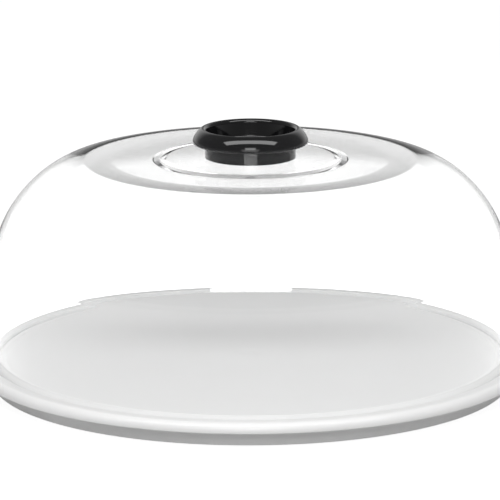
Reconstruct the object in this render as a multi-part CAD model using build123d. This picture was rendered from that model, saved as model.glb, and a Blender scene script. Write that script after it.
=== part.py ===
from build123d import *
from math import radians, tan
import os

# Cake dome with plate. Millimetres, +Z up, origin on the table under the middle of the plate.

# Dome: a drafted wall, a round shoulder, a nearly flat crown and a raised seat for the knob.
dome_diameter = 299.6
dome_height = 115.8
dome_wall = 2.7
crown_wall = 2.3
dome_draft = 2.2
shoulder_height = 57.4
shoulder_width = 51.6
shoulder_fullness = 0.465
shoulder_wedge = 0.8
crown_flat_diameter = 158.0
crown_break_slope = 0.55
crown_edge_slope = 1.15
inner_shoulder_lead = 2.3
seat_step = 1.2
seat_diameter = 111.8
seat_slope_run = 4.0
recess_inset = 1.4
recess_slope_run = 6.5
dome_edge_round = 0.8
step_round = 0.3
spigot_height = 1.4
spigot_wall = 1.8
spigot_clearance = 0.2

# Plate: a moulded tray with a raised middle, a channel for the dome and a rim turned down at its edge.
plate_height = 14.9
plate_wall = 2.6
channel_depth = 2.0
channel_outer_clearance = 0.6
channel_inner_clearance = 2.0
channel_slope_run = 4.5
channel_round = 2.4
rim_width = 9.6
rim_round = 4.6
rim_lip_depth = 5.7
rim_lip_wall = 2.6
skirt_inset = 1.2
skirt_wall = 2.8
edge_round = 0.6

# Mark of the moulding gate in the middle of the plate.
gate_radius = 12.0
gate_depth = 0.35

# Ribs under the plate.
rib_count = 12
rib_wall = 1.8
rib_depth = 3.0
hub_ring_radius = 18.0
middle_ring_radius = 80.0

# Feet pressed into bosses beside the skirt.
foot_count = 6
foot_radius = 5.0
foot_height = 2.2
foot_reach = 0.6
foot_clearance = 0.1
foot_round = 0.3
foot_boss_wall = 1.9
foot_boss_bite = 1.0

# Knob: an open cup with a wide rolled lip, on a plain neck.
neck_diameter = 52.0
neck_wall = 2.5
neck_height = 8.0
lip_height = 8.8
lip_overhang = 7.1
lip_crest_offset = 1.2
lip_mouth_inset = 0.8
lip_mouth_drop = 2.1
lip_flank_fullness = 0.33
lip_crest_fullness = 0.33
lip_edge_height = 1.0
lip_corner = 0.9
cup_floor_wall = 2.5
cup_floor_round = 1.6

# Fixing of the knob: a screw from inside the dome into a threaded insert.
screw_diameter = 4.0
screw_hole_clearance = 0.3
screw_tip_gap = 0.7
screw_head_rim = 1.9
screw_head_height = 2.3
key_width = 2.5
key_depth = 1.3
washer_width = 3.7
washer_thickness = 0.9
washer_bevel = 0.2
seal_width = 2.7
seal_thickness = 1.0
insert_diameter = 5.6
insert_length = 3.9
insert_clearance = 0.02
insert_cover = 1.6
insert_boss_wall = 2.4
thread_clearance = 0.05

# Heights that follow from the sizes above.
rim_top = foot_reach + plate_height
channel_floor = rim_top - channel_depth
crown_top = channel_floor + dome_height
wall_top = crown_top - shoulder_height
seat_top = crown_top + seat_step
seat_underside = seat_top - crown_wall
boss_bottom = seat_top + seal_thickness
insert_top = boss_bottom + insert_length
cup_floor = insert_top + insert_cover
lip_underside = seat_top + neck_height
lip_top = lip_underside + lip_height

# Radii that follow from the sizes above.
dome_radius = dome_diameter / 2
wall_top_radius = dome_radius - tan(radians(dome_draft)) * (wall_top - channel_floor)
crown_radius = wall_top_radius - shoulder_width
crown_flat_radius = crown_flat_diameter / 2
seat_radius = seat_diameter / 2
channel_outer = dome_radius + channel_outer_clearance
channel_inner = dome_radius - dome_wall - channel_inner_clearance
slope_start = channel_inner - channel_slope_run
plate_radius = channel_outer + rim_width
skirt_radius = channel_outer - skirt_inset
foot_boss_radius = foot_radius + foot_clearance + foot_boss_wall
foot_circle = skirt_radius - skirt_wall - foot_boss_radius + foot_boss_bite
neck_radius = neck_diameter / 2
neck_bore = neck_radius - neck_wall
screw_radius = screw_diameter / 2
hole_radius = screw_radius + screw_hole_clearance
insert_radius = insert_diameter / 2

upright = (Align.CENTER, Align.CENTER, Align.MIN)


def turned(section):
    """Solid of revolution about Z from a section drawn with x as radius and y as height."""
    return revolve(Plane.XZ * section, Axis.Z)


def rounded(section, rounds):
    """The section with each listed corner, given as radius and height, made round."""
    for radius, height, corner in rounds:
        nearest = section.vertices().sort_by_distance((radius, height))[0]
        section = fillet(nearest, corner)
    return section


def disc(radius, bottom, top):
    """Upright cylinder between two heights."""
    return Pos(0, 0, bottom) * Cylinder(radius, top - bottom, align=upright)


def ring(outer, inner, bottom, top):
    """Upright tube between two heights."""
    return disc(outer, bottom, top) - disc(inner, bottom, top)


def around(count, radius):
    """Places spaced evenly on a circle, each turned to face outwards."""
    return [Rot(0, 0, 360 * index / count) * Pos(radius, 0, 0) for index in range(count)]


def dome_section():
    """Section of the dome, up the outside and down the inside."""
    slope = tan(radians(dome_draft))
    inner_slope = slope - tan(radians(shoulder_wedge))
    rise = shoulder_fullness * shoulder_height
    run = shoulder_fullness * shoulder_width
    crown_under = crown_top - crown_wall
    fall_run = crown_radius - crown_flat_radius
    break_slope = tan(radians(crown_break_slope))
    edge_slope = tan(radians(crown_edge_slope))
    crown_edge = crown_top - fall_run * (break_slope + edge_slope) / 2
    inner_crown_radius = crown_radius - inner_shoulder_lead
    step_top = seat_radius - seat_slope_run
    recess_radius = seat_radius - recess_inset
    inner_wall_top = wall_top_radius - dome_wall
    shoulder = Bezier(
        (wall_top_radius, wall_top),
        (wall_top_radius - slope * rise, wall_top + rise),
        (crown_radius + run, crown_edge - edge_slope * run),
        (crown_radius, crown_edge),
    )
    crown = Bezier(
        (crown_radius, crown_edge),
        (crown_radius - fall_run / 3, crown_edge + edge_slope * fall_run / 3),
        (crown_flat_radius + fall_run / 3, crown_top - break_slope * fall_run / 3),
        (crown_flat_radius, crown_top),
    )
    seat = Polyline(
        (crown_flat_radius, crown_top),
        (seat_radius, crown_top),
        (step_top, seat_top),
        (hole_radius, seat_top),
        (hole_radius, seat_underside),
        (recess_radius - recess_slope_run, seat_underside),
        (recess_radius, crown_under),
        (inner_crown_radius, crown_under),
    )
    inner_shoulder = Bezier(
        (inner_crown_radius, crown_under),
        (inner_crown_radius + run, crown_under),
        (inner_wall_top - inner_slope * rise, wall_top + rise),
        (inner_wall_top, wall_top),
    )
    wall = Polyline(
        (inner_wall_top, wall_top),
        (dome_radius - dome_wall, channel_floor),
        (dome_radius, channel_floor),
        (wall_top_radius, wall_top),
    )
    rounds = [
        (dome_radius, channel_floor, dome_edge_round),
        (dome_radius - dome_wall, channel_floor, dome_edge_round),
        (seat_radius, crown_top, step_round),
        (step_top, seat_top, step_round),
        (recess_radius - recess_slope_run, seat_underside, step_round),
        (recess_radius, crown_under, step_round),
    ]
    return rounded(make_face([shoulder, crown, seat, inner_shoulder, wall]), rounds)


def clear_dome():
    """Dome with a screw hole in its seat and a low spigot that centres the knob."""
    outer = neck_bore - spigot_clearance
    spigot = ring(outer, outer - spigot_wall, seat_top - crown_wall / 2, seat_top + spigot_height)
    return turned(dome_section()) + spigot


def plate_section():
    """Section of the plate without its ribs and bosses, out along the top and back along the underside."""
    under = rim_top - plate_wall
    channel_under = channel_floor - plate_wall
    lip_bottom = rim_top - rim_lip_depth
    lip_inner = plate_radius - rim_lip_wall
    skirt_inner = skirt_radius - skirt_wall
    thick_inner = slope_start - plate_wall
    top_round = min(rim_round, rim_lip_depth - 1.5 * edge_round, rim_width - 1.5 * edge_round)
    corners = [
        (0, rim_top),
        (slope_start, rim_top),
        (channel_inner, channel_floor),
        (channel_outer, channel_floor),
        (channel_outer, rim_top),
        (plate_radius, rim_top),
        (plate_radius, lip_bottom),
        (lip_inner, lip_bottom),
        (lip_inner, under),
        (channel_outer + plate_wall, under),
        (skirt_radius, channel_under),
        (skirt_radius, foot_reach),
        (skirt_inner, foot_reach),
        (skirt_inner, channel_under),
        (thick_inner, channel_under),
        (thick_inner - channel_depth, under),
        (0, under),
    ]
    rounds = [
        (slope_start, rim_top, channel_round),
        (channel_inner, channel_floor, edge_round),
        (channel_outer, channel_floor, edge_round / 2),
        (channel_outer, rim_top, edge_round),
        (plate_radius, rim_top, top_round),
        (plate_radius, lip_bottom, edge_round),
        (lip_inner, lip_bottom, edge_round),
        (lip_inner, under, edge_round),
        (skirt_radius, foot_reach, edge_round),
        (skirt_inner, foot_reach, edge_round),
    ]
    return rounded(make_face(Polyline(*corners, close=True)), rounds)


def gate_mark():
    """Shallow round dish that the moulding gate leaves in the plate's top."""
    deep = rim_top - gate_depth
    above = rim_top + gate_depth
    dish = Bezier((0, deep), (gate_radius / 2, deep), (gate_radius / 2, rim_top), (gate_radius, rim_top))
    lid = Polyline((gate_radius, rim_top), (gate_radius, above), (0, above), (0, deep))
    return turned(make_face([dish, lid]))


def plate_stiffening():
    """Ribs from the hub ring to the skirt, two rings and the bosses for the feet, kept under the channel."""
    top = rim_top - plate_wall / 2
    rib_bottom = rim_top - plate_wall - rib_depth
    inner_end = hub_ring_radius - rib_wall / 2
    outer_end = skirt_radius - skirt_wall / 2
    straight = Pos(0, 0, rib_bottom) * Box(outer_end - inner_end, rib_wall, top - rib_bottom, align=upright)
    ribs = [place * straight for place in around(rib_count, (inner_end + outer_end) / 2)]
    rings = [ring(size, size - rib_wall, rib_bottom, top) for size in (hub_ring_radius, middle_ring_radius)]
    boss = disc(foot_boss_radius, foot_reach, top)
    bosses = [place * boss for place in around(foot_count, foot_circle)]
    headroom = ring(plate_radius, slope_start, channel_floor - plate_wall / 2, rim_top)
    return [piece - headroom for piece in ribs + rings + bosses]


def cake_plate():
    """Plate with its channel, rim, skirt, ribs and the bosses for the feet."""
    pocket = disc(foot_radius + foot_clearance, 0, foot_height)
    plate = turned(plate_section()) - gate_mark()
    plate = plate.fuse(*plate_stiffening())
    return plate - [place * pocket for place in around(foot_count, foot_circle)]


def non_slip_feet():
    """Round pads pressed into the bosses, which stand a little below the skirt."""
    pad = disc(foot_radius, 0, foot_height)
    pad = fillet(pad.edges().group_by(Axis.Z)[0], foot_round)
    return Compound([place * pad for place in around(foot_count, foot_circle)])


def knob_section():
    """Section of the cup, its neck and its rolled lip."""
    lip_radius = neck_radius + lip_overhang
    crest = neck_radius + lip_crest_offset
    mouth = neck_radius - lip_mouth_inset
    mouth_height = lip_top - lip_mouth_drop
    roll = (crest - mouth) / 2
    flank_start = lip_underside + lip_edge_height
    neck = Polyline(
        (neck_radius, seat_top),
        (neck_radius, lip_underside),
        (lip_radius, lip_underside),
        (lip_radius, flank_start),
    )
    flank = Bezier(
        (lip_radius, flank_start),
        (lip_radius, flank_start + lip_flank_fullness * lip_height),
        (crest + lip_crest_fullness * (lip_radius - crest), lip_top),
        (crest, lip_top),
    )
    brim = Bezier(
        (crest, lip_top),
        (crest - roll, lip_top),
        (mouth, mouth_height + roll),
        (mouth, mouth_height),
    )
    cup = Polyline(
        (mouth, mouth_height),
        (neck_bore, cup_floor),
        (0, cup_floor),
        (0, cup_floor - cup_floor_wall),
        (neck_bore, cup_floor - cup_floor_wall),
        (neck_bore, seat_top),
        (neck_radius, seat_top),
    )
    rounds = [
        (lip_radius, lip_underside, lip_corner),
        (neck_radius, lip_underside, lip_corner),
        (neck_bore, cup_floor, cup_floor_round),
    ]
    return rounded(make_face([neck, flank, brim, cup]), rounds)


def knob():
    """Knob with a boss under its floor for the insert."""
    boss = disc(insert_radius + insert_boss_wall, boss_bottom, cup_floor - cup_floor_wall / 2)
    socket = disc(insert_radius + insert_clearance, boss_bottom, insert_top)
    return turned(knob_section()) + boss - socket


def knob_insert():
    """Threaded bush in the knob's boss, with a plain bore in place of the thread."""
    return ring(insert_radius, screw_radius + thread_clearance, boss_bottom, insert_top)


def knob_seal():
    """Soft ring between the boss and the top of the dome."""
    return ring(hole_radius + seal_width, hole_radius, seat_top, boss_bottom)


def knob_washer():
    """Flat washer against the underside of the dome."""
    washer = ring(hole_radius + washer_width, hole_radius, seat_underside - washer_thickness, seat_underside)
    rims = washer.edges().filter_by(GeomType.CIRCLE).sort_by(SortBy.RADIUS)
    return chamfer(rims[-2:], washer_bevel)


def knob_screw():
    """Round-headed screw with a six-sided key recess, head down inside the dome."""
    head_top = seat_underside - washer_thickness
    head_bottom = head_top - screw_head_height
    head = disc(screw_radius + screw_head_rim, head_bottom, head_top)
    head = fillet(head.edges().group_by(Axis.Z)[0], screw_head_height / 2)
    key = extrude(Pos(0, 0, head_bottom) * RegularPolygon(key_width / 2, 6, major_radius=False), key_depth)
    shank = disc(screw_radius, head_top, insert_top - screw_tip_gap)
    return head + shank - key


nodes = {
    "cake_plate": cake_plate(),
    "non_slip_feet": non_slip_feet(),
    "clear_dome": clear_dome(),
    "knob": knob(),
    "knob_insert": knob_insert(),
    "knob_seal": knob_seal(),
    "knob_washer": knob_washer(),
    "knob_screw": knob_screw(),
}

os.makedirs("parts", exist_ok=True)
for name, shape in nodes.items():
    export_step(shape, f"parts/{name}.step")
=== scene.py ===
import bpy
from collections import namedtuple
from math import cos, pi, radians, sin, tan
from mathutils import Matrix, Vector


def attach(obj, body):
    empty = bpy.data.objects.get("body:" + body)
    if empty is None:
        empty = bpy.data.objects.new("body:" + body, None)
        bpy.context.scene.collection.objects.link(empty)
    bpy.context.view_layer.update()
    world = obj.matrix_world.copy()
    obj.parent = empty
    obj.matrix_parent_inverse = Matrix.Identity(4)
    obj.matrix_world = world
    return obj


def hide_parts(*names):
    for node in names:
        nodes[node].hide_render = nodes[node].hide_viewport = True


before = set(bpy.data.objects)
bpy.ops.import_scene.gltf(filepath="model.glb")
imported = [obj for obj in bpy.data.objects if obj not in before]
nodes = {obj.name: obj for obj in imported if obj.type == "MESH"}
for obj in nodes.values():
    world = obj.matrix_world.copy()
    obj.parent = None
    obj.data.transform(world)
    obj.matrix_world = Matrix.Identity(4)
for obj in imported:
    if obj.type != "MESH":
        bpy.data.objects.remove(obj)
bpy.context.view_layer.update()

# Camera, as the picture was taken: the point it looks at, its place and its long lens.
aim = Vector((-0.00046, 0, 0.0758))
camera_elevation = radians(12.88)
camera_distance = 2.58
camera_lens = 324
camera_film = 36
camera_roll = radians(-0.2)

# Dome, in metres.
dome_radius = 0.1498
dome_height = 0.1158
dome_wall = 0.0027
crown_wall = 0.0023
dome_draft = radians(2.2)
shoulder_height = 0.0574
shoulder_width = 0.0516
shoulder_fullness = 0.465
shoulder_wedge = radians(0.8)
crown_flat_radius = 0.0790
crown_break_slope = radians(0.55)
crown_edge_slope = radians(1.15)
inner_shoulder_lead = 0.0023
seat_step = 0.0012
seat_radius = 0.0559
seat_slope_run = 0.0040
recess_inset = 0.0014
recess_slope_run = 0.0065
dome_edge_round = 0.0008
step_round = 0.0003
spigot_radius = 0.0233
spigot_wall = 0.0018
spigot_height = 0.0014
hole_radius = 0.0023

# Plate.
foot_reach = 0.0006
plate_height = 0.0149
plate_wall = 0.0026
channel_depth = 0.0020
channel_outer = 0.1504
channel_inner = 0.1451
slope_start = 0.1406
channel_round = 0.0024
plate_radius = 0.1600
rim_round = 0.0046
rim_lip_depth = 0.0057
rim_lip_wall = 0.0026
skirt_radius = 0.1492
skirt_wall = 0.0028
edge_round = 0.0006
gate_radius = 0.0120
gate_depth = 0.00035
rib_count = 12
rib_wall = 0.0018
rib_depth = 0.0030
hub_ring_radius = 0.0180
middle_ring_radius = 0.0800
foot_count = 6
foot_circle = 0.1404
foot_boss_radius = 0.0070
foot_pocket_radius = 0.0051
foot_height = 0.0022

# Knob.
neck_radius = 0.0260
neck_wall = 0.0025
neck_height = 0.0080
lip_height = 0.0088
lip_overhang = 0.0071
lip_crest_offset = 0.0012
lip_mouth_inset = 0.0008
lip_mouth_drop = 0.0021
lip_flank_fullness = 0.33
lip_crest_fullness = 0.33
lip_edge_height = 0.0010
lip_corner = 0.0009
cup_floor_height = 0.0065
cup_floor_wall = 0.0025
cup_floor_round = 0.0016
boss_radius = 0.0052
boss_drop = 0.0055
socket_radius = 0.0028
socket_depth = 0.0039

# Heights that follow from the sizes above.
rim_top = foot_reach + plate_height
channel_floor = rim_top - channel_depth
crown_top = channel_floor + dome_height
wall_top = crown_top - shoulder_height
seat_top = crown_top + seat_step
seat_underside = seat_top - crown_wall
lip_underside = seat_top + neck_height
lip_top = lip_underside + lip_height
cup_floor = seat_top + cup_floor_height

# Floor: its colour, how bright it looks to the camera, in gloss and through clear plastic near and far,
# the share of that look in its own light, and where it changes from near to far.
floor_reach = 12
floor_drop = 0.0001
floor_albedo = 0.5
floor_camera = 1.53
floor_gloss = 0.6
floor_through = 2.4
floor_far = 1.5
floor_own_light = 0.75
floor_camera_own_light = 0.6
fade_near = 0.62
fade_far = 0.72

# Sky: how bright it lights the object, and how bright it looks to the camera, through clear plastic and in
# gloss, with the heights up to which it still changes.
sky_light = 0.36
sky_camera = 1
sky_shown = 0.25
sky_gloss = 0.24
haze_height = radians(4)
gloss_height = radians(11)

# Pale walls that gloss shows behind the object, as parts of a direction of length 1.
wall_gloss = 0.85
wall_aside_start = 0.07
wall_aside_full = 0.2
wall_behind_start = 0.6
wall_behind_full = 0.85

# Lamps face this point.
lamp_target = Vector((0, 0, 0.1))

# Clear and white plastic bend light alike.
plastic_bend = 1.49

# Air left where two faces lie on each other, the length below which two points are one, and how finely
# round pieces are divided.
contact_air = 0.00003
tiny = 1e-8
turns = 288
small_turns = 48
arc_steps = 6
curve_steps = 36

Corner = namedtuple("Corner", "r z round", defaults=[0])
Bend = namedtuple("Bend", "first second")


def bezier(a, b, c, d, steps):
    """Points and directions along a cubic curve."""
    samples = []
    for step in range(steps + 1):
        t = step / steps
        s = 1 - t
        point = a * s**3 + b * (3 * s * s * t) + c * (3 * s * t * t) + d * t**3
        direction = (b - a) * (s * s) + (c - b) * (2 * s * t) + (d - c) * (t * t)
        samples.append((point, direction.normalized()))
    return samples


def arc(before, at, after, radius, steps):
    """Points and directions round a corner that is tangent to both of its sides."""
    arriving = (at - before).normalized()
    leaving = (after - at).normalized()
    turn = arriving.angle_signed(leaving)
    reach = radius * tan(abs(turn) / 2)
    start = at - arriving * reach
    side = 1 if turn < 0 else -1
    centre = start + Vector((-arriving.y, arriving.x)) * radius * side
    samples = []
    for step in range(steps + 1):
        spin = Matrix.Rotation(-turn * step / steps, 2)
        samples.append((centre + spin @ (start - centre), (spin @ arriving).normalized()))
    return samples


def spans(items):
    """Stretches of a closed outline in radius and height, each a list of points with directions."""
    corners = [item for item in items if isinstance(item, Corner)]
    bends = {}
    for place, item in enumerate(items):
        if isinstance(item, Bend):
            bends[sum(isinstance(other, Corner) for other in items[:place]) - 1] = item
    points = [Vector((corner.r, corner.z)) for corner in corners]
    count = len(corners)
    arcs = {}
    for index, corner in enumerate(corners):
        if corner.round:
            before, after = points[index - 1], points[(index + 1) % count]
            arcs[index] = arc(before, points[index], after, corner.round, arc_steps)
    stretches = []
    for index in range(count):
        following = (index + 1) % count
        if index in arcs:
            stretches.append(arcs[index])
        start = arcs[index][-1][0] if index in arcs else points[index]
        end = arcs[following][0][0] if following in arcs else points[following]
        if index in bends:
            first, second = (Vector(control) for control in bends[index])
            stretches.append(bezier(start, first, second, end, curve_steps))
        elif start.x > 0 or end.x > 0:
            along = (end - start).normalized()
            stretches.append([(start, along), (end, along)])
    return stretches


def turned(items, count=turns, centre=(0, 0)):
    """Vertices, faces and corner normals of an outline turned about an upright axis.

    The outline runs with the outside of its form on its right.
    """
    vertices, faces, normals = [], [], []
    known = {}
    circle = [(cos(2 * pi * k / count), sin(2 * pi * k / count)) for k in range(count)]

    def station(point):
        key = (round(point.x, 8), round(point.y, 8))
        if key not in known:
            known[key] = len(vertices)
            if point.x < tiny:
                vertices.append((centre[0], centre[1], point.y))
            else:
                for c, s in circle:
                    vertices.append((centre[0] + point.x * c, centre[1] + point.x * s, point.y))
        return known[key]

    def outward(direction, k):
        c, s = circle[k % count]
        return (direction.y * c, direction.y * s, -direction.x)

    for stretch in spans(items):
        for (low, low_way), (high, high_way) in zip(stretch, stretch[1:]):
            if (high - low).length < tiny:
                continue
            a, b = station(low), station(high)
            for k in range(count):
                following = (k + 1) % count
                if low.x < tiny:
                    faces.append((a, b + following, b + k))
                    normals += [outward(low_way, k), outward(high_way, following), outward(high_way, k)]
                elif high.x < tiny:
                    faces.append((a + k, a + following, b))
                    normals += [outward(low_way, k), outward(low_way, following), outward(high_way, k)]
                else:
                    faces.append((a + k, a + following, b + following, b + k))
                    normals += [
                        outward(low_way, k),
                        outward(low_way, following),
                        outward(high_way, following),
                        outward(high_way, k),
                    ]
    return vertices, faces, normals


def block(length, width, bottom, top, angle, middle):
    """Vertices, faces and corner normals of an upright box whose length points away from the axis."""
    spin = Matrix.Rotation(angle, 3, "Z")
    ends = [(middle - length / 2), (middle + length / 2)]
    sides = [-width / 2, width / 2]
    vertices = [tuple(spin @ Vector((x, y, z))) for z in (bottom, top) for x in ends for y in sides]
    faces = [(0, 1, 3, 2), (4, 6, 7, 5), (0, 2, 6, 4), (1, 5, 7, 3), (0, 4, 5, 1), (2, 3, 7, 6)]
    ways = [(0, 0, -1), (0, 0, 1), (0, -1, 0), (0, 1, 0), (-1, 0, 0), (1, 0, 0)]
    normals = [tuple(spin @ Vector(way)) for way in ways for corner in range(4)]
    return vertices, faces, normals


def piece(name, body, parts):
    """One mesh object made of several closed forms, riding on a body."""
    vertices, faces, normals = [], [], []
    for some_vertices, some_faces, some_normals in parts:
        first = len(vertices)
        vertices += some_vertices
        faces += [tuple(first + corner for corner in face) for face in some_faces]
        normals += some_normals
    mesh = bpy.data.meshes.new(name)
    mesh.from_pydata(vertices, [], faces)
    mesh.polygons.foreach_set("use_smooth", [True] * len(faces))
    mesh.normals_split_custom_set(normals)
    mesh.update()
    made = bpy.data.objects.new(name, mesh)
    bpy.context.scene.collection.objects.link(made)
    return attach(made, body)


def dome_outline():
    """Section of the dome: up the outside, in over the crown, down the hole and back inside."""
    slope = tan(dome_draft)
    inner_slope = slope - tan(shoulder_wedge)
    outer_top = dome_radius - slope * (wall_top - channel_floor)
    inner_top = outer_top - dome_wall
    crown_radius = outer_top - shoulder_width
    rise = shoulder_fullness * shoulder_height
    run = shoulder_fullness * shoulder_width
    crown_under = crown_top - crown_wall
    fall_run = crown_radius - crown_flat_radius
    break_slope = tan(crown_break_slope)
    edge_slope = tan(crown_edge_slope)
    crown_edge = crown_top - fall_run * (break_slope + edge_slope) / 2
    inner_crown_radius = crown_radius - inner_shoulder_lead
    recess_radius = seat_radius - recess_inset
    spigot_inner = spigot_radius - spigot_wall
    spigot_top = seat_top + spigot_height
    bottom = channel_floor + contact_air
    top_face = seat_top - contact_air
    under_face = seat_underside + contact_air
    return [
        Corner(dome_radius, bottom, dome_edge_round),
        Corner(outer_top, wall_top),
        Bend(
            (outer_top - slope * rise, wall_top + rise),
            (crown_radius + run, crown_edge - edge_slope * run),
        ),
        Corner(crown_radius, crown_edge),
        Bend(
            (crown_radius - fall_run / 3, crown_edge + edge_slope * fall_run / 3),
            (crown_flat_radius + fall_run / 3, crown_top - break_slope * fall_run / 3),
        ),
        Corner(crown_flat_radius, crown_top),
        Corner(seat_radius, crown_top, step_round),
        Corner(seat_radius - seat_slope_run, top_face, step_round),
        Corner(spigot_radius, top_face),
        Corner(spigot_radius, spigot_top),
        Corner(spigot_inner, spigot_top),
        Corner(spigot_inner, top_face),
        Corner(hole_radius, top_face),
        Corner(hole_radius, under_face),
        Corner(recess_radius - recess_slope_run, under_face, step_round),
        Corner(recess_radius, crown_under, step_round),
        Corner(inner_crown_radius, crown_under),
        Bend((inner_crown_radius + run, crown_under), (inner_top - inner_slope * rise, wall_top + rise)),
        Corner(inner_top, wall_top),
        Corner(dome_radius - dome_wall, bottom, dome_edge_round),
    ]


def plate_outline():
    """Section of the plate without its ribs and bosses: out along the underside and back over the top."""
    under = rim_top - plate_wall
    channel_under = channel_floor - plate_wall
    lip_bottom = rim_top - rim_lip_depth
    lip_inner = plate_radius - rim_lip_wall
    skirt_inner = skirt_radius - skirt_wall
    thick_inner = slope_start - plate_wall
    deep = rim_top - gate_depth
    return [
        Corner(0, under),
        Corner(thick_inner - channel_depth, under),
        Corner(thick_inner, channel_under),
        Corner(skirt_inner, channel_under),
        Corner(skirt_inner, foot_reach, edge_round),
        Corner(skirt_radius, foot_reach, edge_round),
        Corner(skirt_radius, channel_under),
        Corner(channel_outer + plate_wall, under),
        Corner(lip_inner, under, edge_round),
        Corner(lip_inner, lip_bottom, edge_round),
        Corner(plate_radius, lip_bottom, edge_round),
        Corner(plate_radius, rim_top, rim_round),
        Corner(channel_outer, rim_top, edge_round),
        Corner(channel_outer, channel_floor, edge_round / 2),
        Corner(channel_inner, channel_floor, edge_round),
        Corner(slope_start, rim_top, channel_round),
        Corner(gate_radius, rim_top),
        Bend((gate_radius / 2, rim_top), (gate_radius / 2, deep)),
        Corner(0, deep),
    ]


def plate_underside():
    """Ribs, rings and foot bosses that stand out of the plate's underside."""
    top = rim_top - plate_wall / 2
    channel_top = channel_floor - plate_wall / 2
    rib_bottom = rim_top - plate_wall - rib_depth
    inner_end = hub_ring_radius - rib_wall / 2
    outer_end = skirt_radius - skirt_wall / 2
    length = outer_end - inner_end
    middle = (inner_end + outer_end) / 2
    parts = []
    for index in range(rib_count):
        angle = 2 * pi * index / rib_count
        parts.append(block(length, rib_wall, rib_bottom, channel_top, angle, middle))
    for radius in (hub_ring_radius, middle_ring_radius):
        parts.append(turned([
            Corner(radius - rib_wall, rib_bottom),
            Corner(radius, rib_bottom),
            Corner(radius, top),
            Corner(radius - rib_wall, top),
        ]))
    for index in range(foot_count):
        angle = 2 * pi * index / foot_count
        place = (foot_circle * cos(angle), foot_circle * sin(angle))
        parts.append(turned([
            Corner(0, foot_height + contact_air),
            Corner(foot_pocket_radius, foot_height + contact_air),
            Corner(foot_pocket_radius, foot_reach),
            Corner(foot_boss_radius, foot_reach),
            Corner(foot_boss_radius, channel_top),
            Corner(0, channel_top),
        ], small_turns, place))
    return parts


def knob_outline():
    """Section of the knob: out under the lip, over its crest and down into the cup."""
    lip_radius = neck_radius + lip_overhang
    crest = neck_radius + lip_crest_offset
    mouth = neck_radius - lip_mouth_inset
    mouth_height = lip_top - lip_mouth_drop
    roll = (crest - mouth) / 2
    bore = neck_radius - neck_wall
    ceiling = cup_floor - cup_floor_wall
    boss_bottom = cup_floor - boss_drop
    flank_start = lip_underside + lip_edge_height
    return [
        Corner(0, boss_bottom + socket_depth),
        Corner(socket_radius, boss_bottom + socket_depth),
        Corner(socket_radius, boss_bottom),
        Corner(boss_radius, boss_bottom),
        Corner(boss_radius, ceiling),
        Corner(bore, ceiling),
        Corner(bore, seat_top),
        Corner(neck_radius, seat_top),
        Corner(neck_radius, lip_underside, lip_corner),
        Corner(lip_radius, lip_underside, lip_corner),
        Corner(lip_radius, flank_start),
        Bend(
            (lip_radius, flank_start + lip_flank_fullness * lip_height),
            (crest + lip_crest_fullness * (lip_radius - crest), lip_top),
        ),
        Corner(crest, lip_top),
        Bend((crest - roll, lip_top), (mouth, mouth_height + roll)),
        Corner(mouth, mouth_height),
        Corner(bore, cup_floor, cup_floor_round),
        Corner(0, cup_floor),
    ]


def new_material(name):
    """An empty node material and a short way to add its nodes."""
    material = bpy.data.materials.new(name)
    material.use_nodes = True
    tree = material.node_tree
    tree.nodes.clear()
    return material, tree


def add(tree, kind, **inputs):
    """A node with some of its sockets set to values or fed by other sockets."""
    node = tree.nodes.new(kind)
    for name, value in inputs.items():
        socket = node.inputs[name.replace("_", " ")]
        if isinstance(value, bpy.types.NodeSocket):
            tree.links.new(value, socket)
        else:
            socket.default_value = value
    return node


def noise(tree, scale, detail):
    """Noise in the object's own space."""
    place = add(tree, "ShaderNodeTexCoord").outputs["Object"]
    return add(tree, "ShaderNodeTexNoise", Vector=place, Scale=scale, Detail=detail).outputs["Fac"]


def between(tree, value, low, high):
    """A value from 0 to 1 spread between two numbers."""
    return add(tree, "ShaderNodeMapRange", Value=value, To_Min=low, To_Max=high).outputs["Result"]


def bump(tree, height, distance, strength=1):
    """Surface relief of a real height in metres."""
    node = add(tree, "ShaderNodeBump", Height=height, Distance=distance, Strength=strength)
    return node.outputs["Normal"]


def shade_between(tree, value, dark, light):
    """A colour between two neutral or tinted colours."""
    mix = tree.nodes.new("ShaderNodeMix")
    mix.data_type = "RGBA"
    tree.links.new(value, mix.inputs[0])
    mix.inputs[6].default_value = (*dark, 1)
    mix.inputs[7].default_value = (*light, 1)
    return mix.outputs[2]


def output(tree, shader):
    add(tree, "ShaderNodeOutputMaterial", Surface=shader)


def moulded_white():
    """White moulded plastic: nearly even, slightly uneven gloss and a very fine surface."""
    material, tree = new_material("moulded_white")
    cloud = noise(tree, 22, 3)
    fine = noise(tree, 1400, 2)
    shader = add(
        tree,
        "ShaderNodeBsdfPrincipled",
        Base_Color=shade_between(tree, cloud, (0.835, 0.835, 0.832), (0.865, 0.865, 0.862)),
        Roughness=between(tree, fine, 0.24, 0.36),
        IOR=plastic_bend,
        Subsurface_Weight=0.12,
        Subsurface_Radius=(0.0020, 0.0019, 0.0018),
        Normal=bump(tree, fine, 0.000006),
    )
    output(tree, shader.outputs[0])
    return material


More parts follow.
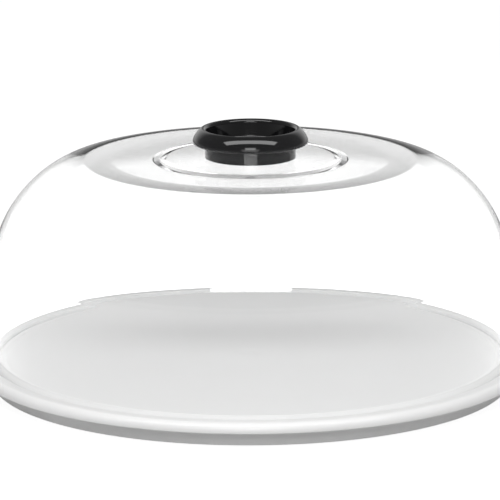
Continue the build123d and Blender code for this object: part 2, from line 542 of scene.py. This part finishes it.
def moulded_clear():
    """Clear plastic: bends what is behind it, and lets lamps light what is inside."""
    material, tree = new_material("moulded_clear")
    flow = noise(tree, 14, 1)
    shader = add(
        tree,
        "ShaderNodeBsdfPrincipled",
        Base_Color=(0.992, 0.993, 0.993, 1),
        Roughness=between(tree, flow, 0.0, 0.012),
        IOR=plastic_bend,
        Transmission_Weight=1.0,
    )
    passing = add(tree, "ShaderNodeBsdfTransparent", Color=(0.98, 0.981, 0.981, 1))
    path = add(tree, "ShaderNodeLightPath")
    lamps = add(tree, "ShaderNodeMath")
    lamps.operation = "MAXIMUM"
    tree.links.new(path.outputs["Is Shadow Ray"], lamps.inputs[0])
    tree.links.new(path.outputs["Is Diffuse Ray"], lamps.inputs[1])
    both = add(tree, "ShaderNodeMixShader")
    tree.links.new(lamps.outputs[0], both.inputs[0])
    tree.links.new(shader.outputs[0], both.inputs[1])
    tree.links.new(passing.outputs[0], both.inputs[2])
    output(tree, both.outputs[0])
    return material


def moulded_black():
    """Gloss black moulded plastic with faint wear in its polish."""
    material, tree = new_material("moulded_black")
    cloud = noise(tree, 60, 4)
    fine = noise(tree, 2200, 2)
    shader = add(
        tree,
        "ShaderNodeBsdfPrincipled",
        Base_Color=shade_between(tree, cloud, (0.004, 0.004, 0.0045), (0.007, 0.007, 0.0075)),
        Roughness=between(tree, cloud, 0.05, 0.09),
        IOR=1.5,
        Normal=bump(tree, fine, 0.000003),
    )
    output(tree, shader.outputs[0])
    return material


def soft_pad(name, dark, light):
    """Matt rubber."""
    material, tree = new_material(name)
    grain = noise(tree, 900, 4)
    shader = add(
        tree,
        "ShaderNodeBsdfPrincipled",
        Base_Color=shade_between(tree, grain, dark, light),
        Roughness=between(tree, grain, 0.55, 0.75),
        Normal=bump(tree, grain, 0.00003),
    )
    output(tree, shader.outputs[0])
    return material


def turned_metal(name, dark, light, low, high):
    """Metal with fine marks round its axis."""
    material, tree = new_material(name)
    place = add(tree, "ShaderNodeTexCoord").outputs["Object"]
    rings = add(tree, "ShaderNodeTexWave", Vector=place, Scale=900, Distortion=2, Detail=2)
    rings.wave_type = "RINGS"
    rings.rings_direction = "Z"
    shader = add(
        tree,
        "ShaderNodeBsdfPrincipled",
        Base_Color=shade_between(tree, rings.outputs["Fac"], dark, light),
        Metallic=1.0,
        Roughness=between(tree, rings.outputs["Fac"], low, high),
        Normal=bump(tree, rings.outputs["Fac"], 0.000008),
    )
    output(tree, shader.outputs[0])
    return material


def dress(thing, material):
    """Give one material to the whole of a piece."""
    thing.data.materials.clear()
    thing.data.materials.append(material)


def number_between(tree, share, first, second):
    """A number between two others, each a socket or a plain number."""
    mix = tree.nodes.new("ShaderNodeMix")
    tree.links.new(share, mix.inputs["Factor"])
    for name, value in (("A", first), ("B", second)):
        if isinstance(value, bpy.types.NodeSocket):
            tree.links.new(value, mix.inputs[name])
        else:
            mix.inputs[name].default_value = value
    return mix.outputs["Result"]


def floor_material():
    """Pale ground that keeps the object's soft shadow, and is dimmer far off where clear plastic shows it."""
    material, tree = new_material("pale_ground")
    lit = add(tree, "ShaderNodeBsdfDiffuse", Color=(floor_albedo, floor_albedo, floor_albedo, 1))
    path = add(tree, "ShaderNodeLightPath")
    place = add(tree, "ShaderNodeNewGeometry").outputs["Position"]
    away = add(tree, "ShaderNodeVectorMath", Vector=place)
    away.operation = "LENGTH"
    fade = add(
        tree,
        "ShaderNodeMapRange",
        Value=away.outputs["Value"],
        From_Min=fade_near,
        From_Max=fade_far,
        To_Min=floor_through,
        To_Max=floor_far,
    )
    fade.interpolation_type = "SMOOTHSTEP"
    opaque = number_between(tree, path.outputs["Is Glossy Ray"], floor_camera, floor_gloss)
    level = number_between(tree, path.outputs["Is Transmission Ray"], opaque, fade.outputs["Result"])
    glow = add(tree, "ShaderNodeEmission", Color=(1, 1, 1, 1), Strength=level)
    share = number_between(tree, path.outputs["Is Diffuse Ray"], floor_own_light, 0)
    share = number_between(tree, path.outputs["Is Camera Ray"], share, floor_camera_own_light)
    both = tree.nodes.new("ShaderNodeMixShader")
    tree.links.new(share, both.inputs[0])
    tree.links.new(lit.outputs[0], both.inputs[1])
    tree.links.new(glow.outputs[0], both.inputs[2])
    output(tree, both.outputs[0])
    return material


def ground():
    """A wide flat floor under the object."""
    mesh = bpy.data.meshes.new("ground")
    ways = [(-1, -1), (1, -1), (1, 1), (-1, 1)]
    corners = [(floor_reach * x, floor_reach * y, 0) for x, y in ways]
    mesh.from_pydata(corners, [], [(0, 1, 2, 3)])
    made = bpy.data.objects.new("ground", mesh)
    made.location.z = -floor_drop
    bpy.context.scene.collection.objects.link(made)
    dress(made, floor_material())


def softbox(name, elevation, distance, width, depth, power):
    """A rectangular lamp before the object, at a given angle above the table."""
    lamp = bpy.data.lights.new(name, "AREA")
    lamp.shape = "RECTANGLE"
    lamp.size = width
    lamp.size_y = depth
    lamp.energy = power
    made = bpy.data.objects.new(name, lamp)
    up = radians(elevation)
    away = Vector((0, -cos(up), sin(up)))
    made.location = lamp_target + away * distance
    made.rotation_euler = away.to_track_quat("Z", "Y").to_euler()
    made.visible_camera = False
    bpy.context.scene.collection.objects.link(made)


def sky_fade(tree, height, top, low, high):
    """Sky level that changes from the horizon up to a given height."""
    return add(
        tree,
        "ShaderNodeMapRange",
        Value=height,
        From_Min=0,
        From_Max=sin(top),
        To_Min=low,
        To_Max=high,
    ).outputs["Result"]


def pale_walls(tree, parts):
    """Share of the sky that is the pale walls behind the object, to the left and right of the middle."""
    width = tree.nodes.new("ShaderNodeMath")
    width.operation = "ABSOLUTE"
    tree.links.new(parts.outputs["X"], width.inputs[0])
    aside = add(
        tree,
        "ShaderNodeMapRange",
        Value=width.outputs[0],
        From_Min=wall_aside_start,
        From_Max=wall_aside_full,
    )
    behind = add(
        tree,
        "ShaderNodeMapRange",
        Value=parts.outputs["Y"],
        From_Min=wall_behind_start,
        From_Max=wall_behind_full,
    )
    share = tree.nodes.new("ShaderNodeMath")
    share.operation = "MULTIPLY"
    tree.links.new(aside.outputs["Result"], share.inputs[0])
    tree.links.new(behind.outputs["Result"], share.inputs[1])
    return share.outputs[0]


def studio_sky():
    """White to the camera, soft and even on the object, and dim where gloss and clear edges show it."""
    world = bpy.data.worlds.new("studio_sky")
    bpy.context.scene.world = world
    world.use_nodes = True
    tree = world.node_tree
    tree.nodes.clear()
    direction = add(tree, "ShaderNodeTexCoord").outputs["Generated"]
    parts = add(tree, "ShaderNodeSeparateXYZ", Vector=direction)
    height = parts.outputs["Z"]
    path = add(tree, "ShaderNodeLightPath")
    through = sky_fade(tree, height, haze_height, floor_far, sky_shown)
    mirrored = sky_fade(tree, height, gloss_height, floor_gloss, sky_gloss)
    mirrored = number_between(tree, pale_walls(tree, parts), mirrored, wall_gloss)
    level = number_between(tree, path.outputs["Is Transmission Ray"], sky_light, through)
    level = number_between(tree, path.outputs["Is Glossy Ray"], level, mirrored)
    level = number_between(tree, path.outputs["Is Camera Ray"], level, sky_camera)
    back = add(tree, "ShaderNodeBackground", Color=(1, 1, 1, 1), Strength=level)
    add(tree, "ShaderNodeOutputWorld", Surface=back.outputs[0])


def camera():
    """The camera at the picture's angle, with a slight roll."""
    data = bpy.data.cameras.new("camera")
    data.sensor_width = camera_film
    data.lens = camera_lens
    made = bpy.data.objects.new("camera", data)
    away = Vector((0, -cos(camera_elevation), sin(camera_elevation)))
    made.location = aim + away * camera_distance
    turn = away.to_track_quat("Z", "Y").to_matrix() @ Matrix.Rotation(camera_roll, 3, "Z")
    made.rotation_euler = turn.to_euler()
    bpy.context.scene.collection.objects.link(made)
    bpy.context.scene.camera = made


plate = piece("plate_fine", "base", [turned(plate_outline())] + plate_underside())
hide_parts("cake_plate")
dress(plate, moulded_white())

dome = piece("dome_fine", "lid", [turned(dome_outline())])
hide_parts("clear_dome")
dress(dome, moulded_clear())

knob = piece("knob_fine", "lid", [turned(knob_outline())])
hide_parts("knob")
dress(knob, moulded_black())

dress(nodes["non_slip_feet"], soft_pad("pad_rubber", (0.60, 0.60, 0.59), (0.72, 0.72, 0.71)))
dress(nodes["knob_seal"], soft_pad("seal_rubber", (0.02, 0.02, 0.02), (0.04, 0.04, 0.04)))
dress(nodes["knob_insert"], turned_metal("turned_brass", (0.62, 0.45, 0.2), (0.8, 0.6, 0.3), 0.25, 0.4))
steel = turned_metal("turned_steel", (0.52, 0.52, 0.53), (0.7, 0.7, 0.71), 0.2, 0.35)
dress(nodes["knob_washer"], steel)
dress(nodes["knob_screw"], steel)

ground()
studio_sky()
softbox("softbox_top", elevation=70, distance=1.3, width=2.1, depth=0.41, power=13.8)
softbox("softbox_front", elevation=24, distance=3.0, width=1.8, depth=0.3, power=5)
softbox("softbox_high", elevation=32, distance=3.0, width=1.0, depth=0.9, power=12)
softbox("softbox_near", elevation=14.7, distance=0.414, width=0.22, depth=0.016, power=0.08)
camera()

bpy.context.scene.view_settings.view_transform = "Standard"
